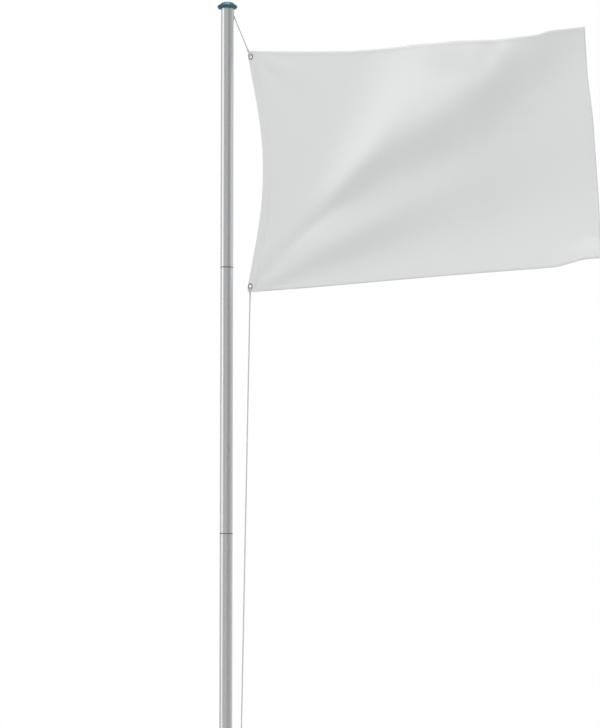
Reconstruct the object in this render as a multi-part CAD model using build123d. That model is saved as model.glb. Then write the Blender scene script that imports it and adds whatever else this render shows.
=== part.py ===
from build123d import *

import os
from math import atan2, cos, degrees, exp, hypot, pi, radians, sin, sqrt, tan

# A sectional aluminium flagpole with a ground sleeve, an internal halyard and a flag.
# Millimetres, +Z up. The origin is the centre of the ground sleeve's bottom face.
# +X points along the flag to its fly end, and -Y is the side of the cleat.

# Mast tube
total_height = 6200.0
section_count = 6
first_section_length = 347.0
head_section_length = 1046.0
mast_diameter = 50.0
mast_wall = 1.5
spigot_length = 80.0
spigot_wall = 1.4
spigot_chamfer = 1.0
joint_clearance = 0.3
joint_ring_height = 3.0
joint_ring_stand = 0.3
joint_ring_edge = (0.3, 0.5)
tube_edge_break = 0.4
swage_start = 9.0
swage_end = 4.0

# Ground sleeve
sleeve_length = 685.0
sleeve_wall = 2.6
sleeve_stand = 0.5
sleeve_floor = 6.0
sleeve_edge = 1.2

# Head cap
cap_diameter = 78.0
cap_height = 27.0
cap_roof = 11.0
cap_dome_radius = 28.5
cap_dome_foot = 15.0
cap_roll = 7.0
cap_lip_inset = 4.0
cap_shell = 3.5
cap_hollow_span = (4.5, 8.0)
cap_ceiling = 10.5
cap_skirt_wall = 2.6
cap_rib_count = 8
cap_rib_thickness = 2.4
cap_rib_span = (3.0, 11.5)
cap_rib_root = 0.5
cap_clearance = 0.3

# Sheave block in the head
rope_diameter = 5.0
sheave_groove_radius = 11.0
sheave_outer_radius = 15.0
sheave_width = 8.0
sheave_groove_floor = 3.6
sheave_groove_mouth = 7.0
rope_clearance = 0.3
sheave_side_gap = 1.0
sheave_offset_x = 5.0
axle_radius = 3.0
axle_length = 38.0
shaft_clearance = 0.05
plug_length = 92.0
plug_rope_bore = 9.0
plug_slot_drop = 12.0
exit_drop = 44.0

# Rope openings in the tube wall, each with a moulded bush
bush_lip = 0.8
bush_fit = 0.1
head_opening = (8.0, 36.0)
port_opening = (9.0, 18.0)
bush_rim = 4.0
wall_cutter = (12.0, 10.0)
port_rise = 226.0

# Cleat
cleat_drop = 50.0
cleat_length = 66.0
cleat_base_width = 18.0
cleat_base_height = 46.0
cleat_base_thickness = 3.5
cleat_stem_width = 10.0
cleat_stem_height = 26.0
cleat_stand = 15.0
cleat_horn_depth = 8.0
cleat_horn_width = 11.0
cleat_horn_lift = 5.0
cleat_tip_scale = 0.55

# Flag
flag_luff_x = 79.0
flag_luff_bow = 60.5
flag_luff_power = 1.35
flag_drop = 199.0
flag_hoist = 939.0
flag_top_sag = 8.0
flag_fly_top_x = 1350.0
flag_fly_bottom_x = 1412.0
flag_reach = 430.0
flag_lift = 52.0
flag_thickness = 2.4
header_width = 36.0
header_cutter = (20.0, 300.0)
header_marks = 15
flag_run = 1430.0
fold_heights = (70.0, 30.0, 65.0, -14.0)
fold_angles = (38.3, 26.2, 47.1, 11.3)
fold_spreads = (6.6, 10.4, 7.6, 18.9)
fold_starts = (300.0, 127.0, 300.0, 80.0)
fold_growths = (936.0, 475.0, 400.0, 250.0)
crease_heights = (25.0, -30.0)
crease_places = (929.0, 800.0)
crease_slopes = (0.05, -0.31)
crease_widths = (115.0, 200.0)
crease_lengths = (950.0, 379.0)
flag_columns = 31
flag_rows = 22
flag_surface_error = 1.0

# Grommets and the rope loops that hold the flag
grommet_inset = (12.0, 18.0)
grommet_hole = (4.5, 6.8)
grommet_outer = (9.3, 12.5)
grommet_neck_wall = 1.2
grommet_flange = 1.2
grommet_fit = 0.3
grommet_cutter = 60.0
corner_round = (10.2, 18.0)
loop_radius = 6.5
loop_throw = 8.7
loop_pinch = 2.6
loop_pinch_bend = 12.0
loop_flare = 9.0
knot_gap = 3.0
knot_length = 11.0
knot_ends = ((3.4, 5.9), (3.0, 3.2))
knot_belly = (4.2, 6.3)

# Halyard turns on the cleat
hitch_lead = 14.0
hitch_gap = 1.2
hitch_lift = 0.4
hitch_cross_gap = 1.6
hitch_side_z = 8.0
hitch_bend = 3.5

# Sizes that follow
mast_radius = mast_diameter / 2
mast_bore = mast_radius - mast_wall
spigot_radius = mast_bore - joint_clearance
sleeve_radius = mast_radius + sleeve_stand
sleeve_bore = sleeve_radius - sleeve_wall
foot_radius = sleeve_bore - joint_clearance
first_joint_z = sleeve_length + first_section_length
section_pitch = (total_height - head_section_length - first_joint_z) / (section_count - 2)
joints_z = [first_joint_z + section_pitch * n for n in range(section_count - 1)]
cap_bottom_z = total_height - cap_height
mast_top_z = total_height - cap_roof
exit_z = mast_top_z - exit_drop
port_z = sleeve_length + port_rise
cleat_z = port_z - cleat_drop
flag_bottom_z = total_height - flag_drop - flag_hoist
rope_radius = rope_diameter / 2
sheave_pitch_radius = sheave_groove_radius + rope_radius + rope_clearance
hitch_entry = Vector(14.5, -34.0, cleat_z + 4)
hitch_exit = Vector(-10.0, -33.0, port_z - 24)
parts = {}


def keep(name, shape):
    """Note a finished sub-part under its node name."""
    parts[name] = shape


def turned(outline):
    """A round solid from a closed outline of (radius, height) points."""
    wire = Polyline(*[(r, 0, z) for r, z in outline], close=True)
    return revolve(make_face(wire), axis=Axis.Z)


def ground_sleeve():
    """Tube set in the ground, closed at its lower end, with an eased rim."""
    e = sleeve_edge
    return turned([
        (0, 0), (sleeve_radius - e, 0), (sleeve_radius, e), (sleeve_radius, sleeve_length - e),
        (sleeve_radius - e, sleeve_length), (sleeve_bore, sleeve_length),
        (sleeve_bore, sleeve_floor), (0, sleeve_floor)])


def foot_spigot():
    """Inner tube that stands on the sleeve's floor and carries the lowest section."""
    top = sleeve_length + spigot_length
    step = spigot_radius - foot_radius
    return turned([
        (foot_radius - spigot_wall, sleeve_floor), (foot_radius, sleeve_floor),
        (foot_radius, sleeve_length), (spigot_radius, sleeve_length + step),
        (spigot_radius, top - spigot_chamfer), (spigot_radius - spigot_chamfer, top),
        (foot_radius - spigot_wall, top)])


def mast_section(low, high, has_spigot):
    """One drawn tube, with a reduced end on top that plugs into the next one."""
    e = tube_edge_break
    outline = [(mast_bore, low), (mast_radius - e, low), (mast_radius, low + e)]
    if not has_spigot:
        outline += [(mast_radius, high), (mast_bore, high)]
        return turned(outline)
    tip = high + spigot_length
    inner = spigot_radius - spigot_wall
    outline += [
        (mast_radius, high - e), (mast_radius - e, high), (spigot_radius, high),
        (spigot_radius, tip - spigot_chamfer), (spigot_radius - spigot_chamfer, tip), (inner, tip),
        (inner, high - swage_end), (mast_bore, high - swage_start)]
    return turned(outline)


def joint_ring(z):
    """Dark ring between two sections, standing a little proud of the tubes."""
    half = joint_ring_height / 2
    r = mast_radius + joint_ring_stand
    ease, ease_z = joint_ring_edge
    return turned([
        (mast_bore, z - half), (r - ease, z - half), (r, z - half + ease_z),
        (r, z + half - ease_z), (r - ease, z + half), (mast_bore, z + half)])


def rounded_slot(size, depth_from, depth_to, z, side):
    """A slot-shaped plug through the tube wall, on the +X or the -Y side."""
    width, height = size
    plane = Plane(origin=(depth_from, 0, z), x_dir=(0, 1, 0), z_dir=(1, 0, 0))
    if side == "-Y":
        plane = Plane(origin=(0, -depth_from, z), x_dir=(1, 0, 0), z_dir=(0, -1, 0))
    shape = plane * Rot(0, 0, 90) * SlotOverall(height, width)
    return extrude(shape, depth_to - depth_from)


def wall_bush(opening, z, side):
    """Moulded bush round a rope opening: a lip outside and a neck in the wall."""
    grown = (opening[0] + 2 * bush_rim, opening[1] + 2 * bush_rim)
    neck = (opening[0] + bush_rim / 2, opening[1] + bush_rim / 2)
    near = mast_radius - wall_cutter[0]
    far = mast_radius + wall_cutter[1]
    tall = 2 * grown[1]
    skin = Cylinder(mast_radius + bush_lip, tall) - Cylinder(mast_radius + bush_fit, tall)
    core = Cylinder(mast_radius + bush_fit, tall) - Cylinder(mast_bore, tall)
    lip = rounded_slot(grown, near, far, z, side) & (Pos(0, 0, z) * skin)
    throat = rounded_slot(neck, near, far, z, side) & (Pos(0, 0, z) * core)
    return lip + throat - rounded_slot(opening, near, far, z, side)


def wall_cut(opening, z, side):
    """The cut in the tube that takes the neck of a bush."""
    grow = bush_rim / 2 + 2 * bush_fit
    size = (opening[0] + grow, opening[1] + grow)
    return rounded_slot(size, mast_radius - wall_cutter[0], mast_radius + wall_cutter[1], z, side)


def cap_outside():
    """Outline of the cap's outside: a dome, a groove at its foot and the rolled rim."""
    rim = cap_diameter / 2
    foot_z = cap_bottom_z + cap_dome_foot
    rise = total_height - foot_z
    roll_x = rim - cap_roll
    roll_z = cap_bottom_z + cap_roll
    lip_x = rim - cap_lip_inset
    groove = (cap_dome_radius, 0, roll_z + sqrt(cap_roll ** 2 - (roll_x - cap_dome_radius) ** 2))
    lip = (lip_x, 0, roll_z - sqrt(cap_roll ** 2 - (lip_x - roll_x) ** 2))
    turns = (0, pi / 6, pi / 3, pi / 2)
    dome = [(cap_dome_radius * sin(turn), 0, foot_z + rise * cos(turn)) for turn in turns]
    return [
        Spline(*dome, tangents=[(1, 0, 0), (0, 0, -1)]), Line(dome[-1], groove),
        ThreePointArc(groove, (rim, 0, roll_z), lip)]


def head_cap():
    """Mushroom cap: dome, rolled hollow rim, skirt round the tube, ribs below."""
    skirt_in = mast_radius + cap_clearance
    skirt_out = skirt_in + cap_skirt_wall
    hollow_x = cap_diameter / 2 - cap_shell
    z0 = cap_bottom_z
    outside = cap_outside()
    lip = outside[-1] @ 1
    lip_in = lip.X - cap_shell
    hollow_low, hollow_high = cap_hollow_span
    inside = Polyline(
        tuple(lip), (lip_in, 0, lip.Z), (hollow_x, 0, z0 + hollow_low), (hollow_x, 0, z0 + hollow_high),
        (lip_in, 0, z0 + cap_ceiling), (skirt_out, 0, z0 + cap_ceiling), (skirt_out, 0, z0),
        (skirt_in, 0, z0), (skirt_in, 0, mast_top_z), (0, 0, mast_top_z), (0, 0, total_height))
    cap = revolve(make_face(Curve() + outside + [inside]), axis=Axis.Z)
    rib_low, rib_high = cap_rib_span
    rib_size = (hollow_x - skirt_out + 2 * cap_rib_root, cap_rib_thickness, rib_high - rib_low)
    rib = Pos((skirt_out + hollow_x) / 2, 0, z0 + (rib_low + rib_high) / 2) * Box(*rib_size)
    for n in range(cap_rib_count):
        cap += Rot(0, 0, 360 / cap_rib_count * (n + 0.5)) * rib
    return cap


def sheave_centre():
    """Centre of the sheave, set so that its groove meets the falling rope."""
    d = rope_direction("top")
    touch_x = sheave_offset_x + sheave_pitch_radius * d.Z
    touch_z = exit_z + (touch_x - mast_radius) * d.Z / d.X
    return sheave_offset_x, touch_z + sheave_pitch_radius * d.X


def halyard_sheave():
    """Grooved wheel in the head block."""
    xc, zc = sheave_centre()
    half = sheave_width / 2
    floor = sheave_groove_floor / 2
    mouth = sheave_groove_mouth / 2
    wheel = turned([
        (axle_radius + shaft_clearance, -half), (sheave_outer_radius, -half), (sheave_outer_radius, -mouth),
        (sheave_groove_radius, -floor), (sheave_groove_radius, floor), (sheave_outer_radius, mouth),
        (sheave_outer_radius, half), (axle_radius + shaft_clearance, half)])
    return Pos(xc, 0, zc) * Rot(90, 0, 0) * wheel


def sheave_axle():
    """Pin through the head block."""
    xc, zc = sheave_centre()
    return Pos(xc, 0, zc) * Rot(90, 0, 0) * Cylinder(axle_radius, axle_length)


def head_plug():
    """Block in the mast's head, slotted for the sheave and bored for the rope."""
    xc, zc = sheave_centre()
    body = Pos(0, 0, mast_top_z - plug_length / 2) * Cylinder(mast_bore - joint_clearance, plug_length)
    room = sheave_pitch_radius + rope_radius + sheave_side_gap
    low = exit_z - plug_slot_drop
    cavity = Pos((xc - room + mast_radius) / 2, 0, (low + zc + room) / 2) * Box(
        mast_radius - xc + room, sheave_width + 2 * sheave_side_gap, zc + room - low)
    bore_x = xc - sheave_pitch_radius
    bore = Pos(bore_x, 0, (mast_top_z - plug_length + zc) / 2) * Cylinder(
        plug_rope_bore / 2, zc - mast_top_z + plug_length + 2)
    pin = Pos(xc, 0, zc) * Rot(90, 0, 0) * Cylinder(axle_radius + shaft_clearance, mast_diameter)
    return body - cavity - bore - pin


def cleat():
    """Horn cleat: saddle base on the tube, oval stem and two swept horns."""
    base = rounded_slot(
        (cleat_base_width, cleat_base_height), mast_radius - wall_cutter[0],
        mast_radius + cleat_base_thickness, cleat_z, "-Y")
    base -= Pos(0, 0, cleat_z) * Cylinder(mast_radius, cleat_base_height * 2)
    horn_y = mast_radius + cleat_stand + cleat_horn_depth / 2
    stem = rounded_slot(
        (cleat_stem_width, cleat_stem_height), mast_radius + 1, horn_y, cleat_z, "-Y")
    sections = []
    for end in (-1, 0, 1):
        scale = cleat_tip_scale if end else 1
        y = -horn_y - cleat_horn_lift * abs(end)
        plane = Plane(origin=(0, y, cleat_z + cleat_length / 2 * end), z_dir=(0, 0, 1))
        sections.append(plane * Ellipse(cleat_horn_width / 2 * scale, cleat_horn_depth / 2 * scale))
    return base + stem + loft(sections)


def flag_luff(up):
    """How far the bowed luff stands from the mast's axis, 0 to 1 up the hoist."""
    return flag_luff_x + flag_luff_bow * (4 * up * (1 - up)) ** flag_luff_power


def soft_step(value):
    """A 0 to 1 value with a soft start and end."""
    value = min(max(value, 0), 1)
    return value * value * (3 - 2 * value)


def fold_depth(p, q):
    """How far the folds stand out, from the distances along the flag and up its hoist."""
    r = hypot(p, q)
    angle = degrees(atan2(q, p)) if r > 0 else 0
    depth = 0
    for n, height in enumerate(fold_heights):
        rise = soft_step((r - fold_starts[n]) / fold_growths[n])
        depth += height * rise * exp(-((angle - fold_angles[n]) / fold_spreads[n]) ** 2)
    down = flag_hoist - q
    for n, height in enumerate(crease_heights):
        away = (p - crease_places[n] - crease_slopes[n] * down) / crease_widths[n]
        depth += height * exp(-away ** 2) * soft_step(1 - down / crease_lengths[n])
    return depth


def flag_point(along, up):
    """A point of the flag: 0 to 1 along it from the luff, 0 to 1 up the hoist."""
    luff = flag_luff(up)
    fly = flag_fly_bottom_x + (flag_fly_top_x - flag_fly_bottom_x) * up
    x = luff + (fly - luff) * along
    low = flag_bottom_z + 2 * flag_lift * along - flag_lift * along ** 2
    high = flag_bottom_z + flag_hoist - flag_top_sag * sin(pi * along)
    z = low + (high - low) * up
    y = -flag_reach * along ** 2 - fold_depth(flag_run * along, flag_hoist * up)
    return x, y, z


def flag_sheet():
    """The whole flag as one thick curved sheet."""
    grid = [[flag_point(c / (flag_columns - 1), r / (flag_rows - 1)) for c in range(flag_columns)]
            for r in range(flag_rows)]
    face = Face.make_surface_from_array_of_points(grid, tol=flag_surface_error, min_deg=3)
    return thicken(face, amount=flag_thickness / 2, both=True)


def header_zone():
    """Region of the flag that the heading tape takes, along the bowed luff."""
    margin, depth = header_cutter
    count = header_marks - 1
    marks = [n / count for n in range(count + 1)]
    bow = Spline(*[(flag_luff(up) + header_width, 0, flag_bottom_z + flag_hoist * up) for up in marks])
    low = flag_bottom_z - margin
    high = flag_bottom_z + flag_hoist + margin
    edge_x = flag_luff_x + header_width
    back = Polyline(bow @ 1, (edge_x, 0, high), (0, 0, high), (0, 0, low), (edge_x, 0, low), bow @ 0)
    return extrude(make_face(Curve() + [bow, back]), amount=depth, both=True)


def grommet_centre(which):
    """Centre of a corner grommet: top or bottom."""
    inset_x, inset_z = grommet_inset
    z = flag_bottom_z + inset_z
    if which == "top":
        z = flag_bottom_z + flag_hoist - inset_z
    return Vector(flag_luff_x + inset_x, 0, z)


def oval(size, allowance, height):
    """A flat oval disc, larger than its size by an allowance all round."""
    return extrude(Ellipse(size[0] + allowance, size[1] + allowance), amount=height / 2, both=True)


def at_grommet(which, shape):
    """A flat shape set upright at the centre of a grommet."""
    return Pos(*grommet_centre(which)) * Rot(90, 0, 0) * shape


def grommet(which):
    """Oval metal eyelet pressed through the cloth, with a flange on each side."""
    inner = flag_thickness / 2 + grommet_fit
    height = 2 * (inner + grommet_flange)
    ring = oval(grommet_outer, 0, height) - oval(grommet_hole, 0, height)
    ring -= oval(grommet_outer, 1, 2 * inner) - oval(grommet_hole, grommet_neck_wall, 2 * inner)
    return at_grommet(which, ring)


def grommet_cut(which):
    """Room in the cloth for a grommet: a hole for its neck, and a pressed seat each side."""
    seat = flag_thickness + grommet_fit
    room = oval(grommet_outer, grommet_fit, grommet_cutter) - oval(grommet_outer, grommet_fit + 1, seat)
    room += oval(grommet_hole, grommet_neck_wall + grommet_fit, grommet_cutter)
    return at_grommet(which, room)


def corner_cut(which):
    """What is cut off a corner of the cloth, so that it runs round its grommet."""
    side = 1 if which == "top" else -1
    half = grommet_cutter / 2
    block = Pos(-half, side * half, 0) * Box(grommet_cutter, grommet_cutter, grommet_cutter)
    return at_grommet(which, block - oval(corner_round, 0, 2 * grommet_cutter))


def tangent_path(points, fixed=None):
    """Straight runs joined by tangent arcs as large as the runs allow."""
    pts = [Vector(*p) for p in points]
    radii = []
    for n, (a, b, c) in enumerate(zip(pts, pts[1:], pts[2:])):
        shorter = min((b - a).length, (c - b).length)
        turn = radians((b - a).get_angle(c - b))
        radii.append(0.45 * shorter / tan(turn / 2))
        if fixed and n in fixed:
            radii[n] = fixed[n]
    return FilletPolyline(*pts, radius=radii)


def rope(path):
    """A length of halyard along a route."""
    start = Plane(origin=path @ 0, z_dir=path % 0)
    return sweep(start * Circle(rope_radius), path=path)


def rope_direction(which):
    """Unit direction in which the halyard pulls on a grommet."""
    target = Vector(mast_radius, 0, exit_z) if which == "top" else hitch_entry
    return (target - grommet_centre(which)).normalized()


def knot_end(which):
    """Where the halyard leaves a knot."""
    return grommet_centre(which) + rope_direction(which) * (grommet_inset[1] + knot_gap + knot_length)


def knot(which):
    """Rope loop through the grommet, closed by a bound knot beyond the cloth's edge."""
    near = grommet_inset[1] + knot_gap
    far = near + knot_length
    pinch_z = near + rope_radius
    flare_z = near - loop_flare
    end_z = loop_throw - loop_radius
    loop = rope(FilletPolyline(
        (0, -loop_pinch, pinch_z), (0, -loop_radius, flare_z), (0, -loop_radius, end_z),
        (0, loop_radius, end_z), (0, loop_radius, flare_z), (0, loop_pinch, pinch_z),
        radius=[loop_pinch_bend, loop_radius - 0.01, loop_radius - 0.01, loop_pinch_bend]))
    outlines = ((near, knot_ends[0]), ((near + far) / 2, knot_belly), (far, knot_ends[1]))
    bundle = loft([Pos(0, 0, z) * Ellipse(*size) for z, size in outlines])
    place = Plane(origin=grommet_centre(which), x_dir=(0, 1, 0), z_dir=rope_direction(which))
    return place * Rot(0, 0, -90) * (loop + bundle)


def halyard_upper():
    """Outer fall from the head opening down to the top knot."""
    return rope(Line(fall_split(), knot_end("top")))


def halyard_lower():
    """Outer fall from the bottom knot down to the cleat."""
    return rope(Line(knot_end("bottom"), hitch_start()))


def hitch_start():
    """Point above the cleat where the outer fall passes into the hitch."""
    return hitch_entry - rope_direction("bottom") * hitch_lead


def hitch_end():
    """Point beside the lower horn where the hitch passes into the inner fall."""
    return (hitch_low_corner() + hitch_exit) / 2


def hitch_low_corner():
    """Last corner of the hitch, beside the lower horn."""
    return Vector(-cleat_stem_width / 2 - 10.0, -(mast_radius + 12.0), cleat_z - 6)


def fall_split():
    """Point just outside the head bush where the outer fall begins."""
    d = rope_direction("top")
    start = Vector(mast_radius, 0, exit_z)
    return start + d * ((bush_lip + 1) / d.X)


def halyard_inner():
    """Fall inside the mast: over the sheave, down, and out through the port."""
    d = rope_direction("top")
    start = fall_split()
    left = sheave_offset_x - sheave_pitch_radius
    over = start + d * ((left - start.X) / d.X)
    inside = [(-0.5, -18.0, port_z + 60), (0, -20.3, port_z + 6.5), (0, -30.5, port_z - 6)]
    route = [tuple(start), (left, 0, over.Z)] + inside + [tuple(hitch_exit), tuple(hitch_end())]
    return rope(tangent_path(route, fixed={0: sheave_pitch_radius}))


def round_stem(end, y, spread=0.0):
    """Two corners that take the rope behind the horns, above (1) or below (-1) the stem."""
    z = cleat_z + end * (cleat_stem_height / 2 + rope_radius + hitch_gap + spread / 4)
    corners = [(hitch_bend, y, z), (-hitch_bend - spread, y, z)]
    return corners


def over_bar(y, back, rise):
    """Three corners that take the rope across the front of the cleat."""
    side = cleat_horn_width / 2 + rope_radius + hitch_gap
    return [(-side, y + back, cleat_z - rise), (0, y, cleat_z), (side, y + back, cleat_z + rise)]


def halyard_hitch():
    """Figure-of-eight turns on the cleat, from the outer fall to the inner one."""
    side = cleat_horn_width / 2 + rope_radius + hitch_gap
    near = -(mast_radius + cleat_base_thickness + rope_radius + hitch_lift)
    far = near - rope_diameter - hitch_lift
    front = -(mast_radius + cleat_stand + cleat_horn_depth + rope_radius + hitch_cross_gap)
    top = front - rope_diameter - hitch_lift
    low = cleat_z - hitch_side_z
    high = cleat_z + hitch_side_z
    route = [tuple(hitch_start()), tuple(hitch_entry), (side + 1.5, near - 0.5, low)]
    route += round_stem(-1, near)
    route += [(-side, near - 3, low)] + over_bar(front, back=4, rise=5) + [(side, near - 3, high)]
    route += round_stem(1, near)
    route += [(-side, near - 3, high + 1)] + over_bar(top, back=7, rise=-6) + [(side, far - 3, low - 2)]
    route += round_stem(-1, far, spread=2.0)
    route += [tuple(hitch_low_corner()), tuple(hitch_end())]
    return rope(tangent_path(route))


def build_all():
    """Work out every sub-part."""
    half_ring = joint_ring_height / 2
    keep("ground_sleeve", ground_sleeve())
    keep("foot_spigot", foot_spigot())
    lows = [sleeve_length] + [z + half_ring for z in joints_z]
    highs = [z - half_ring for z in joints_z] + [mast_top_z]
    for n, (low, high) in enumerate(zip(lows, highs)):
        last = n == section_count - 1
        section = mast_section(low, high, has_spigot=not last)
        if n == 0:
            section -= wall_cut(port_opening, port_z, "-Y")
        if last:
            section -= wall_cut(head_opening, exit_z, "+X")
        keep(f"mast_section_{n + 1}", section)
    for n, z in enumerate(joints_z):
        keep(f"joint_ring_{n + 1}", joint_ring(z))
    keep("head_cap", head_cap())
    keep("head_plug", head_plug())
    keep("halyard_sheave", halyard_sheave())
    keep("sheave_axle", sheave_axle())
    keep("head_bush", wall_bush(head_opening, exit_z, "+X"))
    keep("port_bush", wall_bush(port_opening, port_z, "-Y"))
    keep("halyard_cleat", cleat())
    sheet = flag_sheet() - [cut(which) for cut in (grommet_cut, corner_cut) for which in ("top", "bottom")]
    zone = header_zone()
    keep("flag_cloth", sheet - zone)
    keep("flag_header", sheet & zone)
    keep("upper_grommet", grommet("top"))
    keep("lower_grommet", grommet("bottom"))
    keep("upper_knot", knot("top"))
    keep("lower_knot", knot("bottom"))
    keep("halyard_upper", halyard_upper())
    keep("halyard_lower", halyard_lower())
    keep("halyard_inner", halyard_inner())
    keep("halyard_hitch", halyard_hitch())


build_all()
os.makedirs("parts", exist_ok=True)
for name, shape in parts.items():
    export_step(shape, f"parts/{name}.step")
    print(name, round(shape.volume))
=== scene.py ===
from math import atan2, cos, degrees, exp, hypot, pi, sin, sqrt

import bmesh
import bpy
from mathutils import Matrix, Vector


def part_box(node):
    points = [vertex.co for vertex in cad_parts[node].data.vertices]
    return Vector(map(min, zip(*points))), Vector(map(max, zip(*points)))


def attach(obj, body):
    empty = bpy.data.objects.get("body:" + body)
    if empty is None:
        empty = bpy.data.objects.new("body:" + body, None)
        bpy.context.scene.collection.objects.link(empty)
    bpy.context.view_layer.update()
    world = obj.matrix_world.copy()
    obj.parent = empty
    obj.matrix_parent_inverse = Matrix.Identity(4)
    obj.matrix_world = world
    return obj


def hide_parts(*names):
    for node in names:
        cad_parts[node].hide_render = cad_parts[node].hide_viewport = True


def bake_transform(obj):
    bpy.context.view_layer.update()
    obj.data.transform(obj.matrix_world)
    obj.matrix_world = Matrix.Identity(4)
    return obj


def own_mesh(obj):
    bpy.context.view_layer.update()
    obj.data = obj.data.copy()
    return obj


bl_info = {
    "name": "Sectional flagpole",
    "version": (1, 0, 0),
    "blender": (4, 5, 0),
    "location": "3D View > Sidebar > Flagpole",
    "description": "Dresses the packed flagpole with cloth, rope, fittings and studio light",
    "category": "Object",
}

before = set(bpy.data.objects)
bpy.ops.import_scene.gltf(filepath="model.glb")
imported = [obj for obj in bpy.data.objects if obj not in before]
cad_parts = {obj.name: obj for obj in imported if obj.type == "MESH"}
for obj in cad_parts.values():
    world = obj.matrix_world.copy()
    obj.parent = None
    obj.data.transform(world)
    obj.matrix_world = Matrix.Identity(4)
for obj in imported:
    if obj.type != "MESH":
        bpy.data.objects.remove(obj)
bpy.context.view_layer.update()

# Lengths are in metres. The frame's origin is the centre of the ground sleeve's bottom
# face, +Z runs up the mast, +X along the flag to its fly end, and -Y to the cleat's side.
mast_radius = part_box("mast_section_2")[1][0]

# Flag, with the same rule for its folds as the solid
luff_x = 0.079
luff_bow = 0.0605
luff_power = 1.35
flag_bottom = 5.062
hoist = 0.939
top_sag = 0.008
fly_top_x = 1.350
fly_bottom_x = 1.412
reach = 0.430
bottom_lift = 0.052
flag_run = 1.430
fold_heights = (0.070, 0.030, 0.065, -0.014)
fold_angles = (38.3, 26.2, 47.1, 11.3)
fold_spreads = (6.6, 10.4, 7.6, 18.9)
fold_starts = (0.300, 0.127, 0.300, 0.080)
fold_growths = (0.936, 0.475, 0.400, 0.250)
crease_heights = (0.025, -0.030)
crease_places = (0.929, 0.800)
crease_slopes = (0.05, -0.31)
crease_widths = (0.115, 0.200)
crease_lengths = (0.950, 0.379)
tape_width = 0.036
tape_thickness = 0.0024

# Waves of the flag's edges. A stretch is the start, rise, end and fall of a part with soft ends,
# and a wave of the top edge has its height, its place along the edge and its width.
fly_bow = 0.009
fly_bow_stretch = (0.0, 0.3, 0.82, 0.25)
top_waves = ((0.0080, 0.660, 0.160), (0.0050, 0.735, 0.070), (-0.0045, 0.955, 0.055))
top_dip = 0.011
top_dip_stretch = (0.93, 0.15, 1.30, 0.08)
wave_reach = 0.25
luff_pull = 0.0062
luff_pull_run = 0.95
fly_corner_lift = 0.019
fly_corner_start = 1.24
fly_corner_run = 0.135
fly_corner_height = 0.15

# Lesser creases of the cloth: puckers at the two corners of the luff, creases that hang from the
# top edge, a bent groove from the lower corner, the curl of the fly's lower corner and ripples
pucker_heights = (0.0018, 0.0011)
pucker_place = 0.16
pucker_width = 0.11
pucker_start = 0.12
pucker_count = 9
pucker_turn = 0.6
lesser_heights = (0.005, 0.017, -0.010)
lesser_places = (1.070, 0.855, 1.070)
lesser_slopes = (0.35, 0.0, -0.6)
lesser_widths = (0.035, 0.110, 0.050)
lesser_lengths = (0.16, 0.15, 0.22)
groove_depth = 0.012
groove_angle = 52.5
groove_bend = 19
groove_spread = 6.0
groove_stretch = (0.15, 0.32, 1.20, 0.30)
curl_height = 0.016
curl_size = (0.22, 0.12)
ripple_height = 0.004
ripple_counts = (6.5, 2.2)
ripple_start = 0.7
ripple_rise = 0.5

# The nearest to the luff that a crease's angle is taken
least_run = 0.001

# Making of the flag: the cloth's lap under the tape, the steps of thickness at its hems and rim,
# and the seams, which are placed from the edge that they follow
tape_lap = 0.006
tape_bevel = 0.0015
tape_edge_share = 0.72
tape_hole_margin = 0.0014
hem_swell = 0.8
hem_step = 0.0006
rim_width = 0.0007
field_squares = (196, 132)
tape_squares = (18, 200)
normal_gap = 0.002
seam_step = 0.006
seam_insets = (0.0025, 0.0055)
seam_end = 0.004
fly_edge_seam = 0.005
tape_seams = (0.0285, 0.0325)
tack_heights = ((0.028, 0.047), (hoist - 0.081, hoist - 0.046))
tack_sides = (0.0215, 0.0345)
tack_rows = 7
thread_thickness = 0.0006

# Grommets and knots
grommet_inset = (0.012, 0.018)
grommet_hole = (0.0045, 0.0068)
grommet_outer = (0.0093, 0.0125)
grommet_segments = 64
corner_round = (0.0102, 0.018)
loop_spread = 0.0065
loop_bottom = 0.0022
loop_pinch = 0.0026
loop_flare = 0.009
knot_near = 0.021
knot_far = 0.032
binding_radii = (0.0031, 0.0057)
binding_turns = 8
binding_steps = 16

# Outline of half a grommet's ring: share of the way from its hole to its outside, and height
grommet_outline = [
    (0.00, 0.00000), (0.01, 0.00150), (0.08, 0.00235), (0.23, 0.00268), (0.39, 0.00262),
    (0.54, 0.00236), (0.76, 0.00208), (0.93, 0.00186), (1.00, 0.00162), (0.96, 0.00140),
    (0.70, 0.00138), (0.30, 0.00136)]

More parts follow.
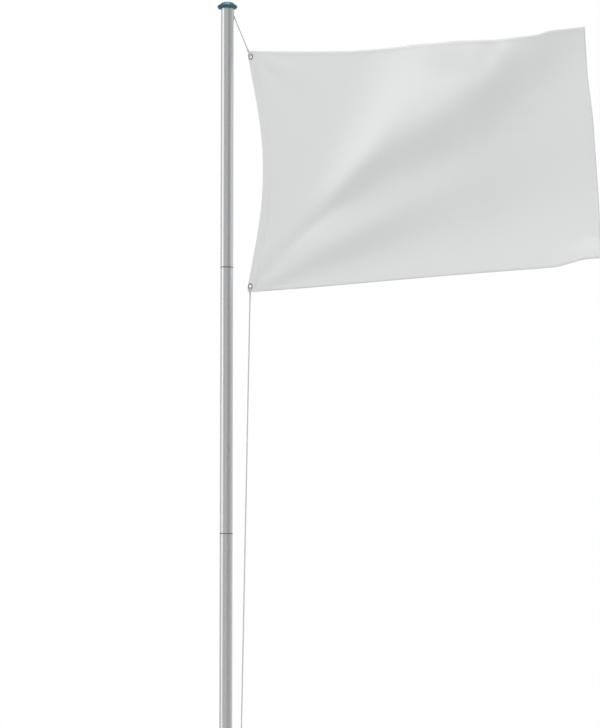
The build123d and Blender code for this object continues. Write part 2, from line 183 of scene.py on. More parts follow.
# Halyard
braid_relief = 0.0004
head_exit = Vector((0.0268, 0, 6.14058))
hitch_top = Vector((0.01475, -0.03389, 0.879))
hitch_entry = Vector((0.0145, -0.034, 0.865))
inner_route = [
    (0.0268, 0, 6.14058), (0.0197, 0, 6.1581), (0.0159, 0, 6.1673), (0.0072, 0, 6.1720),
    (-0.0026, 0, 6.1701), (-0.0088, 0, 6.1624), (-0.0088, 0, 6.1080), (-0.0005, -0.0180, 0.9710),
    (0, -0.0203, 0.9175), (0, -0.0305, 0.9050), (-0.0100, -0.0330, 0.8870), (-0.0125, -0.0350, 0.8710)]
hitch_route = [
    (0.01475, -0.03389, 0.8790), (0.0145, -0.0340, 0.8650), (0.0107, -0.0319, 0.8530),
    (0.0035, -0.0314, 0.8443), (-0.0035, -0.0314, 0.8443), (-0.0092, -0.0344, 0.8530),
    (-0.0092, -0.0481, 0.8560), (0, -0.0521, 0.8610), (0.0092, -0.0481, 0.8660),
    (0.0092, -0.0344, 0.8690), (0.0035, -0.0314, 0.8777), (-0.0035, -0.0314, 0.8777),
    (-0.0092, -0.0344, 0.8700), (-0.0092, -0.0505, 0.8670), (0, -0.0575, 0.8610),
    (0.0092, -0.0505, 0.8550), (0.0092, -0.0398, 0.8510), (0.0035, -0.0368, 0.8438),
    (-0.0055, -0.0368, 0.8438), (-0.0150, -0.0370, 0.8550), (-0.0125, -0.0350, 0.8710)]

# Cleat screws
screw_places = ((0, 0.0165), (0, -0.0165))
screw_height = 0.0022
cleat_base = 0.0035
cleat_low, cleat_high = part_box("halyard_cleat")
cleat_middle = (cleat_low[2] + cleat_high[2]) / 2
cleat_face = -(mast_radius + cleat_base)

# Floor, and the light of the surroundings by bearing in degrees: 0 is the cleat's side, and 90
# is the side that the flag flies to
floor_radius = 60
floor_corners = 96
floor_tone = (0.82, 0.82, 0.82)
# Painted reflection: a darker tone that the floor shows only where the metal reflects it
painted_floor_reflection_tone = (0.54, 0.54, 0.54)
light_bands = (
    (-180, 0.84), (-135, 0.62), (-111, 0.44), (-95, 0.80), (-86, 1.45), (-76, 1.45), (-66, 0.80),
    (-55, 0.50), (-40, 0.44), (-23, 0.47), (-5, 0.53), (13, 0.42), (31, 0.29), (50, 0.35),
    (71, 0.42), (95, 0.52), (127, 0.68), (180, 0.84))
sky_rise = (0.25, 0.9)
sky_light = (0.72, 0.72, 0.72)
diffuse_gain = 0.36

# The direction of a soft window above and behind, which the cap reflects, and its edge and light
window_way = (0.0, 0.25, 0.968)
window_edge = (0.955, 0.985)
window_light = (15.0, 15.0, 15.0)

# Camera: the photograph's frame is 600 by 728
frame_height = 728
camera_place = Vector((0.2836, -12.0, 3.6))
camera_aim = Vector((0.2836, 0, 4.7786))
camera_focus = 3121.6


class FlagpoleSizes(bpy.types.PropertyGroup):
    cloth_thickness: bpy.props.FloatProperty(
        name="Cloth thickness", description="Thickness of the flag's plain field", default=0.0009,
        precision=4, unit="LENGTH")
    hem_width: bpy.props.FloatProperty(
        name="Hem width", description="Width of the top and bottom hems", default=0.015, unit="LENGTH")
    fly_hem_width: bpy.props.FloatProperty(
        name="Fly hem width", description="Width of the hem at the fly end", default=0.024, unit="LENGTH")
    stitch_length: bpy.props.FloatProperty(
        name="Stitch length", description="Length of one seam stitch", default=0.0032,
        precision=4, unit="LENGTH")
    stitch_pitch: bpy.props.FloatProperty(
        name="Stitch pitch", description="Distance from one stitch to the next", default=0.0044,
        precision=4, unit="LENGTH")
    rope_diameter: bpy.props.FloatProperty(
        name="Halyard diameter", description="Diameter of the braided halyard", default=0.005,
        precision=4, unit="LENGTH")
    twine_diameter: bpy.props.FloatProperty(
        name="Binding twine", description="Diameter of the twine that binds the halyard's loops",
        default=0.0013, precision=4, unit="LENGTH")
    braid_pitch: bpy.props.FloatProperty(
        name="Braid pitch", description="Distance between crossings of the braid", default=0.0026,
        precision=4, unit="LENGTH")
    screw_diameter: bpy.props.FloatProperty(
        name="Screw head diameter", description="Diameter of the cleat's screw heads", default=0.0072,
        precision=4, unit="LENGTH")


class FlagpoleColours(bpy.types.PropertyGroup):
    aluminium: bpy.props.FloatVectorProperty(
        name="Aluminium", description="Tint of the drawn tubes", default=(0.83, 0.84, 0.852),
        size=3, subtype="COLOR", min=0, max=1)
    sleeve: bpy.props.FloatVectorProperty(
        name="Sleeve", description="Colour of the ground sleeve", default=(0.018, 0.148, 0.172),
        size=3, subtype="COLOR", min=0, max=1)
    cap: bpy.props.FloatVectorProperty(
        name="Cap", description="Colour of the head cap", default=(0.012, 0.108, 0.135),
        size=3, subtype="COLOR", min=0, max=1)
    cloth: bpy.props.FloatVectorProperty(
        name="Cloth", description="Colour of the flag's cloth", default=(0.796, 0.813, 0.807),
        size=3, subtype="COLOR", min=0, max=1)
    tape: bpy.props.FloatVectorProperty(
        name="Heading tape", description="Colour of the tape along the luff", default=(0.815, 0.828, 0.822),
        size=3, subtype="COLOR", min=0, max=1)
    thread: bpy.props.FloatVectorProperty(
        name="Thread", description="Colour of the sewing thread", default=(0.78, 0.79, 0.785),
        size=3, subtype="COLOR", min=0, max=1)
    rope: bpy.props.FloatVectorProperty(
        name="Halyard", description="Colour of the halyard", default=(0.74, 0.75, 0.74),
        size=3, subtype="COLOR", min=0, max=1)


def sizes():
    """The sizes that a user may change."""
    return bpy.context.scene.flagpole_sizes


def colours():
    """The colours that a user may change."""
    return bpy.context.scene.flagpole_colours


def put(tree, kind, inputs=None, **options):
    """Add a node, set its options, and set or link its inputs."""
    node = tree.nodes.new(kind)
    for key, value in options.items():
        setattr(node, key, value)
    for key, value in (inputs or {}).items():
        if isinstance(value, bpy.types.NodeSocket):
            tree.links.new(value, node.inputs[key])
        else:
            node.inputs[key].default_value = value
    return node


def made(tree, kind, inputs=None, **options):
    """The first output of a new node."""
    return put(tree, kind, inputs, **options).outputs[0]


def maths(tree, operation, *values):
    """The output of a Math node on these values."""
    return made(tree, "ShaderNodeMath", dict(enumerate(values)), operation=operation)


def parts_of(tree, vector):
    """The three numbers of a vector."""
    return put(tree, "ShaderNodeSeparateXYZ", {0: vector}).outputs


def vector_of(tree, x=0.0, y=0.0, z=0.0):
    """A vector from its three numbers."""
    return made(tree, "ShaderNodeCombineXYZ", {"X": x, "Y": y, "Z": z})


def between(tree, value, low, high):
    """A 0 to 1 value brought to the range from low to high."""
    return made(tree, "ShaderNodeMapRange", {"Value": value, "To Min": low, "To Max": high})


def risen(tree, value, low, high):
    """How far a value has come from low to high, from 0 to 1."""
    return made(tree, "ShaderNodeMapRange", {"Value": value, "From Min": low, "From Max": high})


def blended(tree, share, first, second):
    """A colour between two colours."""
    mixed = put(tree, "ShaderNodeMix", {"Factor": share}, data_type="RGBA")
    for place, colour in ((6, first), (7, second)):
        if isinstance(colour, bpy.types.NodeSocket):
            tree.links.new(colour, mixed.inputs[place])
        else:
            mixed.inputs[place].default_value = (*colour, 1)
    return mixed.outputs[2]


def tinted(colour, factor):
    """A lighter or darker version of a colour."""
    return tuple(min(channel * factor, 1) for channel in colour)


def varied(tree, share, tint, darker, lighter):
    """A tint that changes over the surface between two factors of itself."""
    return blended(tree, share, tinted(tint, darker), tinted(tint, lighter))


def noise(tree, vector, scale, detail, roughness, distortion=0.0):
    """The value of a noise."""
    return made(tree, "ShaderNodeTexNoise", {
        "Vector": vector, "Scale": scale, "Detail": detail, "Roughness": roughness,
        "Distortion": distortion})


def stretched(tree, vector, factors):
    """Coordinates with a factor for each axis."""
    return made(tree, "ShaderNodeMapping", {"Vector": vector, "Scale": factors})


def bumped(tree, height, depth, strength):
    """The normals of a bumpy surface."""
    return made(tree, "ShaderNodeBump", {"Strength": strength, "Distance": depth, "Height": height})


def interlaced(tree, first, second):
    """Height of two crossing families of threads, each over the other in turn."""
    wave_1 = maths(tree, "SINE", first)
    wave_2 = maths(tree, "SINE", second)
    turn = maths(tree, "MULTIPLY", wave_1, wave_2)
    over = maths(tree, "MULTIPLY_ADD", turn, 3.0, 0.5)
    over = made(tree, "ShaderNodeClamp", {"Value": over})
    crown_1 = maths(tree, "ABSOLUTE", wave_1)
    crown_2 = maths(tree, "ABSOLUTE", wave_2)
    upper = maths(tree, "MULTIPLY", over, crown_1)
    under = maths(tree, "MULTIPLY", maths(tree, "SUBTRACT", 1.0, over), crown_2)
    return maths(tree, "ADD", upper, under)


def braid_height(tree, along, around, strands, pitch):
    """Height of a braid's strands, from 0 to 1, on a rope."""
    turn = maths(tree, "MULTIPLY", around, strands)
    travel = maths(tree, "DIVIDE", along, pitch)
    right = maths(tree, "MULTIPLY", maths(tree, "ADD", turn, travel), pi)
    left = maths(tree, "MULTIPLY", maths(tree, "SUBTRACT", turn, travel), pi)
    return interlaced(tree, right, left)


def shading_group(name, inputs, masks):
    """An empty shader node group with its sockets, and its input and output nodes' sockets."""
    tree = bpy.data.node_groups.new(name, "ShaderNodeTree")
    tree.interface.new_socket("Vector", in_out="INPUT", socket_type="NodeSocketVector")
    for label, value in inputs.items():
        socket = tree.interface.new_socket(label, in_out="INPUT", socket_type="NodeSocketFloat")
        socket.default_value = value
    for label in masks:
        tree.interface.new_socket(label, in_out="OUTPUT", socket_type="NodeSocketFloat")
    tree.interface.new_socket("Normal", in_out="OUTPUT", socket_type="NodeSocketVector")
    return tree, tree.nodes.new("NodeGroupInput").outputs, tree.nodes.new("NodeGroupOutput").inputs


def weave_group(name):
    """Plain weave on flat coordinates in metres."""
    tree, given, result = shading_group(name, {"Threads": 1400.0, "Depth": 0.0001}, ("Height", "Slub"))
    split = parts_of(tree, given["Vector"])
    step = maths(tree, "MULTIPLY", given["Threads"], pi)
    height = interlaced(
        tree, maths(tree, "MULTIPLY", split[0], step), maths(tree, "MULTIPLY", split[1], step))
    slub = noise(
        tree, stretched(tree, given["Vector"], (1, 26, 1)), scale=42.0, detail=4.0, roughness=0.62)
    raised = maths(tree, "MULTIPLY_ADD", slub, 0.7, height)
    tree.links.new(height, result["Height"])
    tree.links.new(slub, result["Slub"])
    tree.links.new(bumped(tree, raised, given["Depth"], strength=0.6), result["Normal"])
    return tree


def braid_group(name):
    """Braided strands on rope coordinates: metres along it, and 0 to 1 around it."""
    tree, given, result = shading_group(
        name, {"Strands": 8.0, "Pitch": 0.0026, "Depth": 0.0005}, ("Height", "Fuzz"))
    split = parts_of(tree, given["Vector"])
    height = braid_height(tree, split[0], split[1], given["Strands"], given["Pitch"])
    fuzz = noise(tree, given["Vector"], scale=520.0, detail=3.0, roughness=0.7)
    raised = maths(tree, "MULTIPLY_ADD", fuzz, 0.3, height)
    tree.links.new(height, result["Height"])
    tree.links.new(fuzz, result["Fuzz"])
    tree.links.new(bumped(tree, raised, given["Depth"], strength=0.8), result["Normal"])
    return tree


def grain_group(name):
    """Fine surface grain with a slower drift of shade, for mouldings and castings."""
    tree, given, result = shading_group(name, {"Scale": 900.0, "Depth": 0.0001}, ("Grain", "Drift"))
    grain = noise(tree, given["Vector"], scale=given["Scale"], detail=5.0, roughness=0.6)
    drift = noise(tree, given["Vector"], scale=14.0, detail=3.0, roughness=0.5)
    tree.links.new(grain, result["Grain"])
    tree.links.new(drift, result["Drift"])
    tree.links.new(bumped(tree, grain, given["Depth"], strength=0.5), result["Normal"])
    return tree


def drawn_group(name):
    """Long fine lines that drawing leaves along a tube, with faint handling marks."""
    tree, given, result = shading_group(name, {"Depth": 0.00003}, ("Lines", "Marks"))
    drawn = stretched(tree, given["Vector"], (1, 1, 0.006))
    lines = noise(tree, drawn, scale=1100.0, detail=6.0, roughness=0.65)
    wide = stretched(tree, given["Vector"], (1, 1, 0.18))
    marks = noise(tree, wide, scale=26.0, detail=5.0, roughness=0.6, distortion=0.4)
    tree.links.new(lines, result["Lines"])
    tree.links.new(marks, result["Marks"])
    tree.links.new(bumped(tree, lines, given["Depth"], strength=0.35), result["Normal"])
    return tree


def placed_group(tree, name, make, coordinate, values=None):
    """The outputs of a shared group, placed in a material and made when it is first wanted."""
    group = bpy.data.node_groups.get(name) or make(name)
    source = put(tree, "ShaderNodeTexCoord").outputs[coordinate]
    inputs = {"Vector": source, **(values or {})}
    return put(tree, "ShaderNodeGroup", inputs, node_tree=group).outputs


def grained(tree, scale, depth):
    """The outputs of the shared grain at this scale and depth."""
    values = {"Scale": scale, "Depth": depth}
    return placed_group(tree, "surface_grain", grain_group, "Object", values)


def new_finish(name):
    """An empty material, its tree and its shader."""
    material = bpy.data.materials.new(name)
    material.use_nodes = True
    tree = material.node_tree
    tree.nodes.clear()
    shader = put(tree, "ShaderNodeBsdfPrincipled")
    put(tree, "ShaderNodeOutputMaterial", {"Surface": shader.outputs[0]})
    return material, tree, shader


def set_sockets(tree, shader, values):
    """Set or link a shader's own sockets."""
    for label, value in values.items():
        if isinstance(value, bpy.types.NodeSocket):
            tree.links.new(value, shader.inputs[label])
        else:
            shader.inputs[label].default_value = value


def aluminium_finish():
    """Drawn aluminium: satin, with fine lengthwise lines and faint smears."""
    material, tree, shader = new_finish("drawn_aluminium")
    drawn = placed_group(tree, "drawn_lines", drawn_group, "Object")
    tone = varied(tree, drawn["Lines"], colours().aluminium, darker=0.93, lighter=1.06)
    smear = between(tree, drawn["Marks"], 0.22, 0.28)
    rough = maths(tree, "MULTIPLY_ADD", drawn["Lines"], 0.06, smear)
    set_sockets(tree, shader, {
        "Base Color": tone, "Metallic": 1.0, "Roughness": rough, "Normal": drawn["Normal"]})
    return material


def moulded_finish(name, tint, roughness, depth=0.00008, scale=1100.0):
    """Moulded plastic or rubber with a fine grain and a slight drift of shade."""
    material, tree, shader = new_finish(name)
    grain = grained(tree, scale, depth)
    tone = varied(tree, grain["Drift"], tint, darker=0.86, lighter=1.14)
    rough = between(tree, grain["Grain"], roughness - 0.06, roughness + 0.06)
    set_sockets(tree, shader, {
        "Base Color": tone, "Roughness": rough, "Normal": grain["Normal"], "IOR": 1.46})
    return material


def metal_finish(name, tint, roughness, depth, scale):
    """Cast, pressed or turned metal with a tumbled grain."""
    material, tree, shader = new_finish(name)
    grain = grained(tree, scale, depth)
    tone = varied(tree, grain["Grain"], tint, darker=0.82, lighter=1.12)
    rough = between(tree, grain["Drift"], roughness - 0.08, roughness + 0.08)
    set_sockets(tree, shader, {
        "Base Color": tone, "Metallic": 1.0, "Roughness": rough, "Normal": grain["Normal"]})
    return material


def woven_finish(name, tint, threads, depth, roughness):
    """Woven cloth or tape: crossing threads, slubs and a soft sheen."""
    material, tree, shader = new_finish(name)
    values = {"Threads": threads, "Depth": depth}
    weave = placed_group(tree, "plain_weave", weave_group, "UV", values)
    # Painted shade: the cloth's colour is darker where the threads dip under each other and lighter on their
    # crowns
    tone = varied(tree, weave["Height"], tint, darker=0.90, lighter=1.03)
    tone = blended(tree, maths(tree, "MULTIPLY", weave["Slub"], 0.5), tone, tinted(tint, 0.93))
    rough = between(tree, weave["Height"], roughness, roughness - 0.08)
    set_sockets(tree, shader, {
        "Base Color": tone, "Roughness": rough, "Normal": weave["Normal"],
        "Sheen Weight": 0.25, "Sheen Roughness": 0.5, "Specular IOR Level": 0.25})
    return material


def rope_finish(name, tint):
    """Braided polyester rope."""
    material, tree, shader = new_finish(name)
    values = {"Pitch": sizes().braid_pitch}
    braid = placed_group(tree, "braided_strands", braid_group, "UV", values)
    # Painted shade: the rope's colour is darker in the hollows between the braid's strands and lighter on
    # their crowns
    tone = varied(tree, braid["Height"], tint, darker=0.62, lighter=1.08)
    tone = blended(tree, maths(tree, "MULTIPLY", braid["Fuzz"], 0.35), tone, tinted(tint, 0.85))
    rough = between(tree, braid["Height"], 0.86, 0.66)
    set_sockets(tree, shader, {
        "Base Color": tone, "Roughness": rough, "Normal": braid["Normal"],
        "Sheen Weight": 0.3, "Sheen Roughness": 0.45, "Specular IOR Level": 0.3})
    return material


def thread_finish(name, tint):
    """Twisted sewing thread."""
    material, tree, shader = new_finish(name)
    grain = grained(tree, scale=2600.0, depth=0.0001)
    tone = varied(tree, grain["Grain"], tint, darker=0.80, lighter=1.10)
    rough = between(tree, grain["Grain"], 0.82, 0.68)
    set_sockets(tree, shader, {
        "Base Color": tone, "Roughness": rough, "Normal": grain["Normal"], "Sheen Weight": 0.2})
    return material


def dress(material, *names):
    """Give CAD nodes a finish."""
    for name in names:
        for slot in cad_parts[name].material_slots:
            slot.material = material


def linked_object(name, mesh):
    """A new object at the origin that holds a mesh."""
    holder = bpy.data.objects.new(name, mesh)
    bpy.context.scene.collection.objects.link(holder)
    return holder


def smooth(mesh):
    """Shade every face of a mesh smooth."""
    mesh.polygons.foreach_set("use_smooth", [True] * len(mesh.polygons))


def line_mesh(lines):
    """A mesh of loose edges along one or more rows of points."""
    points = []
    edges = []
    for line in lines:
        first = len(points)
        points += [tuple(point) for point in line]
        edges += [(first + n, first + n + 1) for n in range(len(line) - 1)]
    mesh = bpy.data.meshes.new("lines")
    mesh.from_pydata(points, edges, [])
    return mesh


def smooth_route(points, resolution=10):
    """Points along the smooth line of a route, whose points are its control points."""
    curve = bpy.data.curves.new("route", "CURVE")
    curve.dimensions = "3D"
    spline = curve.splines.new("NURBS")
    spline.points.add(len(points) - 1)
    for place, point in zip(spline.points, points):
        place.co = (*point, 1)
    spline.order_u = 3
    spline.use_endpoint_u = True
    spline.resolution_u = resolution
    holder = linked_object("route", curve)
    mesh = bpy.data.meshes.new_from_object(holder)
    line = [vertex.co.copy() for vertex in mesh.vertices]
    bpy.data.objects.remove(holder)
    bpy.data.curves.remove(curve)
    bpy.data.meshes.remove(mesh)
    return line


def geometry_group(name, inputs):
    """An empty geometry node group, and the sockets of its input and output nodes."""
    tree = bpy.data.node_groups.new(name, "GeometryNodeTree")
    tree.interface.new_socket("Geometry", in_out="INPUT", socket_type="NodeSocketGeometry")
    for label, kind in (*inputs.items(), ("Finish", "Material")):
        tree.interface.new_socket(label, in_out="INPUT", socket_type="NodeSocket" + kind)
    tree.interface.new_socket("Geometry", in_out="OUTPUT", socket_type="NodeSocketGeometry")
    return tree, tree.nodes.new("NodeGroupInput").outputs, tree.nodes.new("NodeGroupOutput").inputs


def stored(tree, geometry, name, kind, domain, value):
    """Geometry that keeps a value under a name."""
    inputs = {"Geometry": geometry, "Name": name, "Value": value}
    return made(tree, "GeometryNodeStoreNamedAttribute", inputs, data_type=kind, domain=domain)


def named(tree, name, kind):
    """A value that the geometry keeps under a name."""
    return made(tree, "GeometryNodeInputNamedAttribute", {"Name": name}, data_type=kind)


def evenly_marked(tree, mesh, length):
    """Lines as curves whose points lie a length apart."""
    line = made(tree, "GeometryNodeMeshToCurve", {"Mesh": mesh})
    return made(tree, "GeometryNodeResampleCurve", {"Curve": line, "Length": length}, mode="LENGTH")


def end_with(tree, geometry, finish, result):
    """Realize the instances, set the finish and end the tree."""
    real = made(tree, "GeometryNodeRealizeInstances", {0: geometry})
    coated = made(tree, "GeometryNodeSetMaterial", {"Geometry": real, "Material": finish})
    tree.links.new(coated, result[0])


def rope_nodes(name):
    """Braided rope along lines, with its own coordinates along and around it."""
    tree, given, result = geometry_group(name, {
        "Radius": "Float", "Step": "Float", "Sides": "Int", "Strands": "Float", "Pitch": "Float",
        "Relief": "Float"})
    line = evenly_marked(tree, given["Geometry"], given["Step"])
    spot = put(tree, "GeometryNodeSplineParameter").outputs
    place = made(tree, "GeometryNodeInputPosition")
    line = stored(tree, line, "along", "FLOAT", "POINT", spot["Length"])
    line = stored(tree, line, "centre", "FLOAT_VECTOR", "POINT", place)
    ring = made(tree, "GeometryNodeCurveArc", {
        "Resolution": maths(tree, "ADD", given["Sides"], 1), "Radius": given["Radius"],
        "Sweep Angle": 2 * pi}, mode="RADIUS")
    ring = stored(tree, ring, "around", "FLOAT", "POINT", spot["Factor"])
    tube = made(tree, "GeometryNodeCurveToMesh", {"Curve": line, "Profile Curve": ring})
    along = named(tree, "along", "FLOAT")
    around = named(tree, "around", "FLOAT")
    tube = stored(tree, tube, "UVMap", "FLOAT2", "CORNER", vector_of(tree, along, around))
    height = braid_height(tree, along, around, given["Strands"], given["Pitch"])
    lift = maths(tree, "MULTIPLY", maths(tree, "SUBTRACT", height, 1.0), given["Relief"])
    centre = named(tree, "centre", "FLOAT_VECTOR")
    outward = made(tree, "ShaderNodeVectorMath", {0: place, 1: centre}, operation="SUBTRACT")
    outward = made(tree, "ShaderNodeVectorMath", {0: outward}, operation="NORMALIZE")
    offset = made(tree, "ShaderNodeVectorMath", {0: outward, "Scale": lift}, operation="SCALE")
    tube = made(tree, "GeometryNodeSetPosition", {"Geometry": tube, "Offset": offset})
    tube = made(tree, "GeometryNodeMergeByDistance", {"Geometry": tube, "Distance": 0.00001})
    end_with(tree, tube, given["Finish"], result)
    return tree


def stitch_nodes(name):
    """Stitches set end to end along lines."""
    tree, given, result = geometry_group(name, {
        "Pitch": "Float", "Length": "Float", "Thickness": "Float"})
    line = evenly_marked(tree, given["Geometry"], given["Pitch"])
    tangent = made(tree, "GeometryNodeInputTangent")
    turn = made(tree, "FunctionNodeAlignRotationToVector", {"Vector": tangent}, axis="Z")
    thread = made(tree, "GeometryNodeMeshUVSphere", {"Segments": 5, "Rings": 4, "Radius": 0.5})
    size = vector_of(tree, given["Thickness"], given["Thickness"], given["Length"])
    stitches = made(tree, "GeometryNodeInstanceOnPoints", {
        "Points": line, "Instance": thread, "Rotation": turn, "Scale": size})
    end_with(tree, stitches, given["Finish"], result)
    return tree


def screw_nodes(name):
    """Domed screw heads with a cross slot, one on each point."""
    tree, given, result = geometry_group(name, {"Diameter": "Float", "Height": "Float"})
    radius = maths(tree, "MULTIPLY", given["Diameter"], 0.5)
    dome = made(tree, "GeometryNodeMeshUVSphere", {"Segments": 32, "Rings": 16, "Radius": 1.0})
    shape = vector_of(tree, radius, radius, given["Height"])
    dome = made(tree, "GeometryNodeTransform", {"Geometry": dome, "Scale": shape})
    slot_length = maths(tree, "MULTIPLY", given["Diameter"], 0.52)
    slot_width = maths(tree, "MULTIPLY", given["Diameter"], 0.11)
    raised = vector_of(tree, z=given["Height"])
    cut = put(tree, "GeometryNodeMeshBoolean", {"Mesh 1": dome}, operation="DIFFERENCE")
    for wide, high in ((slot_length, slot_width), (slot_width, slot_length)):
        bar = made(tree, "GeometryNodeMeshCube", {"Size": vector_of(tree, wide, high, given["Height"])})
        bar = made(tree, "GeometryNodeTransform", {"Geometry": bar, "Translation": raised})
        tree.links.new(bar, cut.inputs["Mesh 2"])
    heads = made(tree, "GeometryNodeInstanceOnPoints", {
        "Points": given["Geometry"], "Instance": cut.outputs[0], "Rotation": (pi / 2, 0, 0)})
    end_with(tree, heads, given["Finish"], result)
    return tree


def close_up(mesh):
    """Fill a mesh's open rims and point its faces outwards."""
    shaper = bmesh.new()
    shaper.from_mesh(mesh)
    rims = [edge for edge in shaper.edges if edge.is_boundary]
    bmesh.ops.holes_fill(shaper, edges=rims, sides=0)
    bmesh.ops.recalc_face_normals(shaper, faces=shaper.faces)
    shaper.to_mesh(mesh)
    shaper.free()


def grown(name, lines, group_name, make_nodes, values, close=False):
    """A plain mesh that a geometry node group makes from rows of points."""
    holder = linked_object(name, line_mesh(lines))
    modifier = holder.modifiers.new("grow", "NODES")
    modifier.node_group = bpy.data.node_groups.get(group_name) or make_nodes(group_name)
    for item in modifier.node_group.interface.items_tree:
        if item.in_out == "INPUT" and item.name in values:
            modifier[item.identifier] = values[item.name]
    state = holder.evaluated_get(bpy.context.evaluated_depsgraph_get())
    mesh = bpy.data.meshes.new_from_object(state)
    holder.modifiers.remove(modifier)
    if close:
        close_up(mesh)
    for label in ("along", "around", "centre"):
        if label in mesh.attributes:
            mesh.attributes.remove(mesh.attributes[label])
    smooth(mesh)
    mesh.name = name
    holder.data = mesh
    return holder


def rope_piece(name, lines, finish, step, sides, relief=0.0, diameter=None):
    """One or more runs of halyard or twine as one braided piece."""
    values = {
        "Radius": (diameter or sizes().rope_diameter) / 2, "Step": step, "Sides": sides,
        "Strands": 8.0, "Pitch": sizes().braid_pitch, "Relief": relief, "Finish": finish}
    return grown(name, lines, "rope_along_lines", rope_nodes, values, close=True)


def clamp(value):
    """A value kept between 0 and 1."""
    return min(max(value, 0.0), 1.0)


def eased(value):
    """A 0 to 1 value with a soft start and end."""
    value = clamp(value)
    return value * value * (3 - 2 * value)


def bell(value):
    """A hump that is 1 high at 0 and fades on both sides."""
    return exp(-value ** 2)


def stretch(value, start, rise, end, fall):
    """1 in a stretch with soft ends, and 0 outside it."""
    return eased((value - start) / rise) * eased((end - value) / fall)


def hanging_creases(p, down, heights, places, slopes, widths, lengths):
    """How far creases that hang from the top edge stand out to the cleat's side."""
    out = 0.0
    for height, place, slope, width, length in zip(heights, places, slopes, widths, lengths):
        out += height * bell((p - place - slope * down) / width) * eased(1 - down / length)
    return out


def flag_place(along, up):
    """A point of the flag's middle surface: 0 to 1 from the luff, 0 to 1 up the hoist."""
    luff = luff_x + luff_bow * (4 * up * (1 - up)) ** luff_power
    fly = fly_bottom_x + (fly_top_x - fly_bottom_x) * up + fly_bow * stretch(up, *fly_bow_stretch)
    low = flag_bottom + bottom_lift * (2 * along - along ** 2)
    high = flag_bottom + hoist - top_sag * sin(pi * along)
    p = flag_run * along
    q = hoist * up
    r = hypot(p, q)
    angle = degrees(atan2(q, p)) if r > 0 else 0
    y = -reach * along ** 2
    for n, height in enumerate(fold_heights):
        rise = eased((r - fold_starts[n]) / fold_growths[n])
        y -= height * rise * bell((angle - fold_angles[n]) / fold_spreads[n])
    y -= hanging_creases(
        p, hoist - q, crease_heights, crease_places, crease_slopes, crease_widths, crease_lengths)
    z = low + (high - low) * up + edge_waves(p, q)
    return Vector((luff + (fly - luff) * along, y + small_folds(p, q), z))


def edge_waves(p, q):
    """How far the top and bottom edges rise and dip, and the turned-up lower corner at the fly."""
    pull = luff_pull * (1 - eased(p / luff_pull_run))
    wave = sum(height * bell((p - place) / width) for height, place, width in top_waves)
    wave += pull - top_dip * stretch(p, *top_dip_stretch)
    corner = eased((p - fly_corner_start) / fly_corner_run) * eased(1 - q / fly_corner_height)
    return (
        wave * eased(1 - (hoist - q) / wave_reach) - pull * eased(1 - q / wave_reach)
        + fly_corner_lift * corner)


def small_folds(p, q):
    """How far the lesser creases take the cloth back from the cleat's side."""
    down = hoist - q
    depth = 0.0
    for far, height in zip((q, down), pucker_heights):
        r = hypot(p, far)
        fade = bell((r - pucker_place) / pucker_width) * eased(r / pucker_start)
        depth += height * fade * sin(pucker_count * atan2(far, max(p, least_run)) + pucker_turn)
    depth -= hanging_creases(
        p, down, lesser_heights, lesser_places, lesser_slopes, lesser_widths, lesser_lengths)
    r = hypot(p, q)
    angle = degrees(atan2(q, max(p, least_run)))
    across = bell((angle - groove_angle + groove_bend * r) / groove_spread)
    depth += groove_depth * across * stretch(r, *groove_stretch)
    depth -= curl_height * eased(1 - hypot((p - flag_run) / curl_size[0], q / curl_size[1]))
    ripple = sin(ripple_counts[0] * p + ripple_counts[1] * q)
    return depth + ripple_height * ripple * eased((p - ripple_start) / ripple_rise)


def flag_normal(along, up):
    """Direction that the cloth faces at a point, towards the cleat's side."""
    gap = normal_gap
    across = flag_place(min(along + gap, 1), up) - flag_place(max(along - gap, 0), up)
    rising = flag_place(along, min(up + gap, 1)) - flag_place(along, max(up - gap, 0))
    return across.cross(rising).normalized()


def marks_between(low, high, count, extra=()):
    """Evenly spaced marks, with more at given places."""
    even = [low + (high - low) * n / count for n in range(count + 1)]
    added = [value for value in extra if low < value < high]
    close = (high - low) / count * 0.3
    kept = [value for value in even if all(abs(value - other) > close for other in added)]
    return sorted(kept + added)


def rounded(p, q):
    """A flat place moved inward, where needed, so that the two corners at the luff are round."""
    wide, high = corner_round
    low = min(q, hoist - q)
    if p >= wide or low >= high:
        return p, q
    u = 1 - p / wide
    v = 1 - low / high
    p = wide - wide * u * sqrt(1 - v * v / 2)
    low = high - high * v * sqrt(1 - u * u / 2)
    return p, low if q < hoist / 2 else hoist - low


def sheet_mesh(name, columns, rows, thickness):
    """A closed sheet of cloth on the flag's surface, with flat coordinates in metres."""
    vertices = []
    flat = []
    for side in (1, -1):
        for up in rows:
            for along in columns:
                half = thickness(along * flag_run, up * hoist) / 2
                p, q = rounded(along * flag_run, up * hoist)
                across = p / flag_run
                rising = q / hoist
                vertices.append(flag_place(across, rising) + flag_normal(across, rising) * half * side)
                flat.append((p, q))
    wide = len(columns)
    high = len(rows)
    back = wide * high
    faces = []
    for r in range(high - 1):
        for c in range(wide - 1):
            a = r * wide + c
            faces.append((a, a + 1, a + wide + 1, a + wide))
            faces.append((back + a, back + a + wide, back + a + wide + 1, back + a + 1))
    rim = list(range(wide)) + [r * wide + wide - 1 for r in range(1, high)]
    rim += [(high - 1) * wide + c for c in range(wide - 2, -1, -1)]
    rim += [r * wide for r in range(high - 2, 0, -1)]
    for first, second in zip(rim, rim[1:] + rim[:1]):
        faces.append((second, first, back + first, back + second))
    mesh = bpy.data.meshes.new(name)
    mesh.from_pydata([tuple(v) for v in vertices], [], faces)
    layer = mesh.uv_layers.new(name="UVMap")
    for loop in mesh.loops:
        layer.data[loop.index].uv = flat[loop.vertex_index]
    smooth(mesh)
    return mesh


